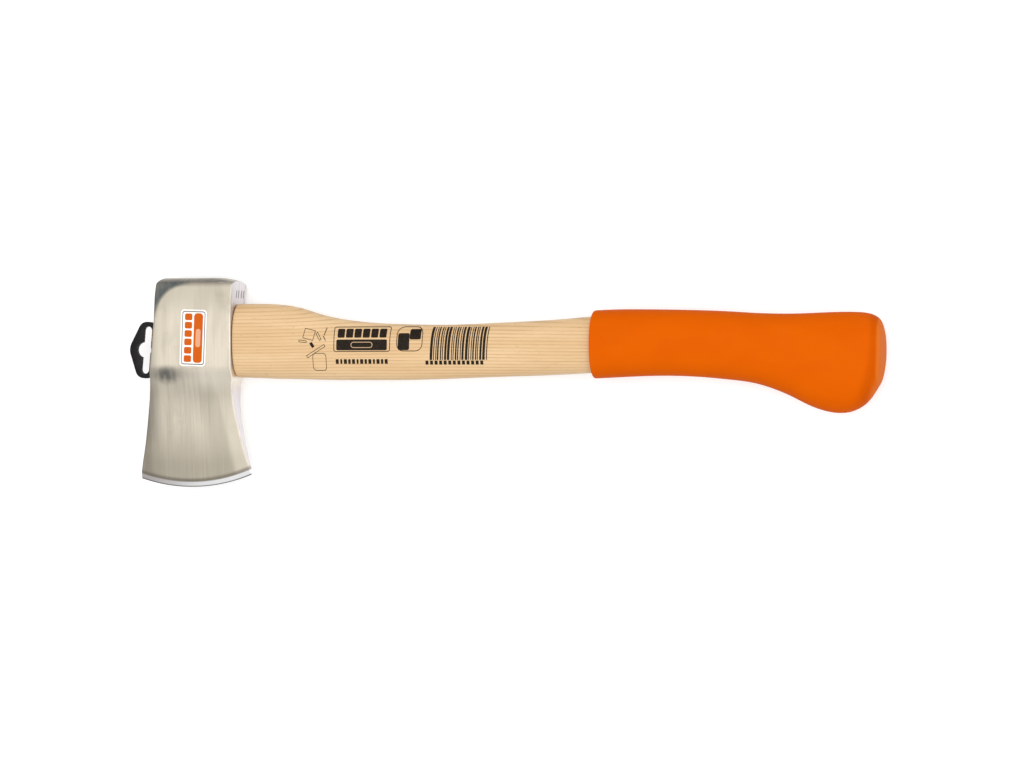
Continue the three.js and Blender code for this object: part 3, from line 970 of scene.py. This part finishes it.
def new_material(name, **fixed):
    """A material with its shader, and bench millimetres to draw patterns with. What is the
    same all over the surface is set on the shader's own sockets."""
    material = bpy.data.materials.new(name)
    material.use_nodes = True
    tree = material.node_tree
    read = tree.nodes.new("ShaderNodeTexCoord").outputs["Object"]
    zero = put(tree, "ShaderNodeMapping", {
        "Vector": read, "Scale": (1 / MM, 1 / MM, 1 / MM), "Location": -ZERO / MM,
    })
    shader = tree.nodes["Principled BSDF"]
    for socket, value in fixed.items():
        shader.inputs[socket.replace("_", " ")].default_value = value
    return material, tree, shader, zero.outputs[0]


def coat(tree, shader, colour, rough, height, strength, depth):
    """Joins a finish to its shader, with its relief as deep as this in millimetres."""
    relief = put(tree, "ShaderNodeBump", {
        "Height": height, "Strength": strength, "Distance": depth * MM,
    }).outputs[0]
    connect(tree, shader, Base_Color=colour, Roughness=rough, Normal=relief)


# ------------------------------------ finishes
STEEL = (210, 201, 184)
BLADE_TURN = -20.5              # the cheek turns into the blade about here
REFLECTION_SMUDGE = (-46, -22, 9.5, 6.5)   # the painted dark reflection: its middle, width and height
GROUND_ROUND = (-31.5, 15.3)    # centre of the round that the poll's corner is ground to
STROKES = (4.2, 0.4, -4.6, -8.4)  # four punched strokes on the underside, and their height
STROKE_LEVEL = 31.0


def ground_steel():
    """Belt-ground forged steel, with the honed bevel and the heat marks left on it, and with
    painted shade, highlights and reflections laid into its colour.
    """
    material, tree, shader, place = new_material("Ground steel", Metallic=0.92)
    split = parts_of(tree, place)
    x, y, z = split["X"], split["Y"], split["Z"]
    facing = faced(tree)
    side = ease(tree, off(tree, facing["X"]), 0.55, 0.85)
    cheek = ease(tree, off(tree, facing["Z"]), 0.5, 0.85)
    brushed = use(tree, BRUSHING, Place=place, Depth_Shift=1.3)
    lines = brushed["Lines"]
    worn_and_lit = use(tree, WEAR_AND_GLINT, Place=place, Reach=0.05)["Worn"]
    dust = use(tree, DUST, Place=place, Size=0.06, Amount=0.5)["Dust"]

    # painted shade darkens the cheeks towards the top side; they are also darker towards the
    # edge, and drawn out in soft upright bands
    colour = tint(tree, ease(tree, x, -64, -48), linear(132, 126, 115), linear(*STEEL))
    colour = wash(tree, colour, ease(tree, y, -50, -82, 0, 0.7), (160, 152, 136))
    bands = ease(tree, brushed["Bands"], 0.44, 0.64, 0, 0.4)
    colour = wash(tree, colour, bands, (176, 168, 152))
    colour = wash(tree, colour, ease(tree, lines, 0.36, 0.56, 0.1, 0), (126, 118, 105))
    colour = wash(tree, colour, ease(tree, lines, 0.56, 0.76, 0, 0.2), (232, 225, 212))
    colour = wash(tree, colour, ease(tree, dust, 0.0, 0.5, 0, 0.2), (160, 152, 139))

    # a stripe of painted highlight that runs down to the heel, with a stripe of painted shade
    # beside it
    to_heel = plus(tree, calc(tree, "ADD", y, 20.0), 0.17, x)
    below_cheek = ease(tree, y, -18, -30)
    shade_stripe = times(
        tree, ease(tree, to_heel, -30, -22), ease(tree, to_heel, -12, -16), below_cheek)
    colour = wash(tree, colour, shade_stripe, (166, 159, 142), 0.4)
    highlight_stripe = times(tree, ease(tree, to_heel, -15, -10), below_cheek)
    colour = wash(tree, colour, highlight_stripe, STEEL, 0.6)

    # painted shade darkens the poll towards its top, and more along its rim where the crown turns
    # away
    colour = wash(tree, colour, ease(tree, y, 12, 34, 0, 0.5), (170, 162, 147))
    shade_rim = times(tree, ease(tree, y, 35, 40.5, 0, 0.92), ease(tree, off(tree, z), 5, 11, 0.25, 1))
    colour = wash(tree, colour, shade_rim, (84, 78, 70))

    # the underside and the top side get a paler, colder copy of the steel, a painted reflection,
    # with its brushed lines; painted shade darkens their far corner
    cold_reflection = tint(
        tree, ease(tree, lines, 0.36, 0.64), linear(204, 198, 204), linear(236, 233, 236))
    colour = tint(tree, times(tree, side, 0.9), colour, cold_reflection)
    far_corner_shade = times(tree, ease(tree, facing["Z"], -0.06, -0.4, 0, 0.85),
                       ease(tree, facing["Z"], -0.97, -0.85))
    colour = wash(tree, colour, far_corner_shade, (86, 86, 98))
    strokes = 0.0
    for middle in STROKES:
        strokes = calc(tree, "MAXIMUM", strokes, ease(tree, off(tree, z, middle), 0.9, 0.5))
    strokes = times(tree, strokes, ease(tree, off(tree, y, STROKE_LEVEL), 2.7, 2.3),
                    ease(tree, facing["X"], 0.55, 0.85))
    colour = wash(tree, colour, strokes, (80, 75, 82), 0.75)

    # where the cheek turns into the blade: a dark strip of painted shade, painted light on the
    # blade below it, and a dark patch that is a painted reflection
    turn_shade_band = times(tree, ease(tree, off(tree, y, BLADE_TURN), 6.5, 1.0, 0, 0.3),
                 ease(tree, x, -44, -18, 1, 0))
    colour = wash(tree, colour, turn_shade_band, (110, 104, 95))
    # painted light: the blade just below the cheek is lightened
    lift = times(tree, ease(tree, y, -16.6, -19.4), ease(tree, y, -37, -24),
                 ease(tree, x, -40, -14, 0.25, 1))
    colour = wash(tree, colour, lift, (242, 233, 217), 0.75)
    ragged = noise(tree, drawn_out(tree, place, 0.35, 0.12, 0.35))
    reflection_smudge = times(tree, ease(tree, away_from(tree, place, *REFLECTION_SMUDGE), 1.25, 0.25),
                   ease(tree, ragged, 0.25, 0.6, 0.3, 0.8), cheek)
    colour = wash(tree, colour, reflection_smudge, (88, 92, 89))

    # the corner of the poll, ground back on a round: painted shade darkens the facet, which is
    # blued by the heat near the round
    corner = away_from(tree, place, *GROUND_ROUND)
    facet = times(tree, ease(tree, corner, 20.6, 24.0), ease(tree, x, -27, -37),
                  ease(tree, y, 13, 22), cheek)
    colour = wash(tree, colour, facet, (100, 96, 91), 0.8)
    burn = times(tree, facet, ease(tree, corner, 33, 23.6),
                 ease(tree, ragged, 0.3, 0.62, 0.4, 0.95))
    colour = wash(tree, colour, burn, (78, 86, 88))

    # the sharpened bevel, its own polish with a painted highlight that grows towards the heel,
    # under a dark line of painted shade and over a dark edge of painted shade
    edge = away_from(tree, place, *EDGE_CENTRE)
    start = EDGE_RADIUS - BEVEL_HEIGHT
    bevel = ease(tree, edge, start + 0.6, start + 1.6)
    dark_line = ease(tree, off(tree, edge, start), 2.2, 0.2, 0, 0.65)
    colour = wash(tree, colour, dark_line, (118, 111, 100))
    honed = tint(
        tree, ease(tree, x, -66, -20), linear(196, 190, 188), linear(250, 250, 251))
    colour = tint(tree, bevel, colour, honed)
    # painted shade: the very edge is darkened
    sharp = ease(tree, edge, EDGE_RADIUS - 1.1, EDGE_RADIUS - 0.4, 0, 0.85)
    colour = wash(tree, colour, sharp, (84, 82, 88))
    above_bevel = calc(tree, "SUBTRACT", 1.0, bevel)
    # the edges are rubbed, and carry a painted highlight as well
    colour = wash(tree, colour, times(tree, worn_and_lit, above_bevel), (230, 225, 218), 0.4)

    relief = times(tree, lines, above_bevel)
    rough = plus(tree, dust, 0.2, ease(tree, relief, 0.3, 0.7, 0.34, 0.46))
    relief = plus(tree, strokes, -8.0, plus(tree, facet, -5.0, relief))
    coat(tree, shader, colour, rough, relief, 0.2, 0.04)
    return material


def ash_wood(name, light, middle, dark, ring_width=2.1, turned=False):
    """Lacquered ash with straight grain."""
    material, tree, shader, place = new_material(name, Specular_IOR_Level=0.3)
    if turned:
        askew = put(tree, "ShaderNodeMapping", {"Vector": place, "Rotation": (0.3, 0, 0.5)})
        place = askew.outputs[0]
    grain = use(tree, GRAIN, Place=place, Ring_Width=ring_width)
    rings, pores = grain["Rings"], grain["Pores"]
    dust = use(tree, DUST, Place=place, Size=0.03, Amount=0.5)["Dust"]
    colour = tint(tree, ease(tree, grain["Figure"], 0.3, 0.7), linear(*middle), linear(*light))
    colour = wash(tree, colour, rings, dark, 0.66)
    colour = wash(tree, colour, pores, dark, 0.35)
    colour = wash(tree, colour, dust, (214, 170, 122), 0.3)
    fleck = ease(tree, noise(tree, drawn_out(tree, place, 0.2, 0.9, 0.9), 2.0), 0.71, 0.78)
    colour = wash(tree, colour, fleck, (150, 108, 66), 0.55)
    rough = plus(tree, pores, 0.15, 0.46)
    sunk = times(tree, plus(tree, pores, 0.7, rings), -1.0)
    coat(tree, shader, colour, rough, sunk, 0.3, 0.04)
    return material


def orange_rubber():
    """Moulded soft rubber with its parting line."""
    material, tree, shader, place = new_material("Orange rubber", Specular_IOR_Level=0.02)
    split = parts_of(tree, place)
    skin = use(tree, SKIN, Place=place, Grit=2.6)
    worn_and_lit = use(tree, WEAR_AND_GLINT, Place=place, Reach=0.06)["Worn"]
    dust = use(tree, DUST, Place=place, Size=0.05, Amount=0.6)["Dust"]
    colour = tint(
        tree, ease(tree, skin["Mottle"], 0.3, 0.7), linear(214, 90, 0), linear(217, 93, 0))
    colour = wash(tree, colour, dust, (220, 116, 40), 0.1)
    # rubbed edges with a painted highlight on them
    colour = wash(tree, colour, worn_and_lit, (240, 150, 88), 0.3)
    # painted highlight on the end of the knob, behind a rim of painted shade where the side turns
    # away
    outwards = faced(tree)["X"]
    near_end = ease(tree, split["X"], HANDLE_REACH - 20, HANDLE_REACH - 8)
    shade_rim = times(
        tree, ease(tree, outwards, 0.12, 0.45), ease(tree, outwards, 0.8, 0.62), near_end)
    colour = wash(tree, colour, shade_rim, (192, 78, 0), 0.55)
    # pale is the painted highlight on the end face
    pale = times(tree, ease(tree, outwards, 0.72, 0.9), near_end)
    colour = wash(tree, colour, pale, (228, 132, 58), 0.5)
    seam = ease(tree, off(tree, split["Z"]), 0.35, 0.05)
    colour = wash(tree, colour, seam, (196, 80, 6), 0.35)
    rough = ease(tree, skin["Height"], 0.4, 1.2, 0.42, 0.58)
    coat(tree, shader, colour, rough, plus(tree, seam, 3.0, skin["Height"]), 0.3, 0.06)
    return material


def black_plastic():
    """Stiff moulded plastic, rubbed grey along its edges, with a painted highlight on them too.
    """
    material, tree, shader, place = new_material("Black plastic", Specular_IOR_Level=0.18)
    skin = use(tree, SKIN, Place=place, Grit=3.4)
    worn_and_lit = use(tree, WEAR_AND_GLINT, Place=place, Reach=0.08)["Worn"]
    dust = use(tree, DUST, Place=place, Size=0.25, Amount=0.7)["Dust"]
    colour = tint(
        tree, ease(tree, skin["Mottle"], 0.3, 0.7), linear(10, 9, 11), linear(20, 18, 21))
    colour = wash(tree, colour, dust, (60, 58, 58), 0.25)
    # rubbed edges with a painted highlight on them
    colour = wash(tree, colour, worn_and_lit, (104, 102, 103), 0.3)
    rough = ease(tree, skin["Height"], 0.4, 1.2, 0.3, 0.48)
    coat(tree, shader, colour, rough, skin["Height"], 0.25, 0.05)
    return material


def wedge_steel():
    """Dark rolled steel, scaled and hammered on its head."""
    material, tree, shader, place = new_material("Wedge steel", Metallic=0.85)
    dust = use(tree, DUST, Place=place, Size=0.5, Amount=0.9)["Dust"]
    height = use(tree, SKIN, Place=place, Grit=1.6)["Height"]
    colour = tint(tree, ease(tree, height, 0.4, 1.1), linear(88, 85, 82), linear(138, 133, 127))
    colour = wash(tree, colour, dust, (120, 96, 74))
    rough = ease(tree, height, 0.4, 1.1, 0.36, 0.6)
    coat(tree, shader, colour, rough, height, 0.5, 0.1)
    return material


def printed(name, base, marked, roughness):
    """A printed film or ink, with a slightly uneven coat."""
    material, tree, shader, place = new_material(name, Specular_IOR_Level=0.1)
    dust = use(tree, DUST, Place=place, Size=0.5, Amount=0.8)["Dust"]
    mottle = noise(tree, place, 5.0, 0.7, 1.8)
    colour = tint(tree, ease(tree, mottle, 0.5, 0.74, 0, 0.6), linear(*base), linear(*marked))
    colour = wash(tree, colour, dust, marked, 0.3)
    coat(tree, shader, colour, plus(tree, mottle, 0.2, roughness - 0.1), mottle, 0.12, 0.02)
    return material


# ------------------------------------ the axe
def dress(piece, material):
    """Gives a piece its finish."""
    piece.data.materials.clear()
    piece.data.materials.append(material)


head = make_head()
wood = make_handle()
grip = make_grip()
hanger = make_hanger()
film = printed("Label film", (250, 248, 244), (228, 222, 212), 0.38)
sticker = make_label(
    film,
    printed("Grey line", (112, 109, 108), (150, 147, 143), 0.4),
    printed("Orange print", (206, 90, 4), (212, 122, 52), 0.4),
    printed("Pale print", (226, 168, 130), (214, 118, 56), 0.4),
)
marks = make_print(
    wood,
    printed("Black ink", (26, 21, 16), (96, 72, 48), 0.5),
    printed("Bare wood line", (196, 164, 126), (168, 134, 98), 0.5),
)

dress(head, ground_steel())
dress(wood, ash_wood("Ash", (229, 196, 152), (219, 182, 135), (182, 143, 97)))
dress(grip, orange_rubber())
dress(hanger, black_plastic())
dress(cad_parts["wooden_wedge"], ash_wood(
    "Wedge wood", (214, 172, 122), (196, 150, 98), (150, 104, 62), 1.3, turned=True))
dress(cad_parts["steel_wedge"], wedge_steel())

for piece, node, slot in (
    (head, "axe_head", "head_steel"),
    (wood, "handle", "ash"),
    (grip, "grip", "orange_rubber"),
    (hanger, "hanger", "black_plastic"),
    (sticker, "cheek_label", "label_film"),
):
    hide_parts(node)
    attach(piece, "root")
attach(marks, "root")

# ------------------------------------ studio
CAMERA_LEAN = math.radians(17.5)
CAMERA_DISTANCE = 2.5
CAMERA_LENS = 136.5
CAMERA_AIM = (189, -28)
WALL_LIGHT = 0.66

let_go()
bpy.ops.object.camera_add(
    location=at(*CAMERA_AIM) + CAMERA_DISTANCE * Vector(
        (math.sin(CAMERA_LEAN), 0, math.cos(CAMERA_LEAN))),
    rotation=(0, CAMERA_LEAN, 0),
)
camera = bpy.context.object
camera.data.lens = CAMERA_LENS
camera.data.sensor_width = 36
bpy.context.scene.camera = camera

let_go()
bpy.ops.mesh.primitive_plane_add(size=8, location=(0, 0, 0))
floor = named("floor")
material, tree, shader, place = new_material(
    "Pale floor", Roughness=0.9, Specular_IOR_Level=0.1, Emission_Strength=0.5)
# The paper glows a little where it is seen, so that it washes out its own shadows.
seen = put(tree, "ShaderNodeLightPath").outputs
glow = calc(tree, "MAXIMUM", seen["Is Camera Ray"], seen["Is Glossy Ray"])
connect(tree, shader, Emission_Color=tint(tree, glow, (0, 0, 0, 1), (1, 1, 1, 1)))
shade = ease(tree, noise(tree, place, 2.0, scale=0.01), 0.3, 0.7)
paper = tint(tree, shade, linear(206, 206, 206), linear(210, 210, 210))
connect(tree, shader, Base_Color=paper)
dress(floor, material)

world = bpy.data.worlds.new("Studio")
world.use_nodes = True
# The walls are a little dimmer for the light that they give than for the eye.
sky = world.node_tree.nodes["Background"]
sky.inputs["Color"].default_value = (1, 1, 1, 1)
backdrop = put(world.node_tree, "ShaderNodeLightPath").outputs["Is Camera Ray"]
strength = plus(world.node_tree, backdrop, 1 - WALL_LIGHT, WALL_LIGHT)
world.node_tree.links.new(strength, sky.inputs["Strength"])
bpy.context.scene.world = world


def soft_light(name, place, turn, size, power):
    """A round area light: its place and size are in metres."""
    bpy.ops.object.light_add(type="AREA", location=place, rotation=turn)
    light = bpy.context.object
    light.name = name
    light.data.shape = "DISK"
    light.data.size = size
    light.data.energy = power


soft_light("overhead", (0.3, 0.4, 2.4), (-0.16, 0.12, 0), 3.4, 42)
soft_light("side", (2.2, -0.8, 1.6), (0.4, 0.9, 0), 1.6, 12)
bpy.context.scene.view_settings.view_transform = "Standard"
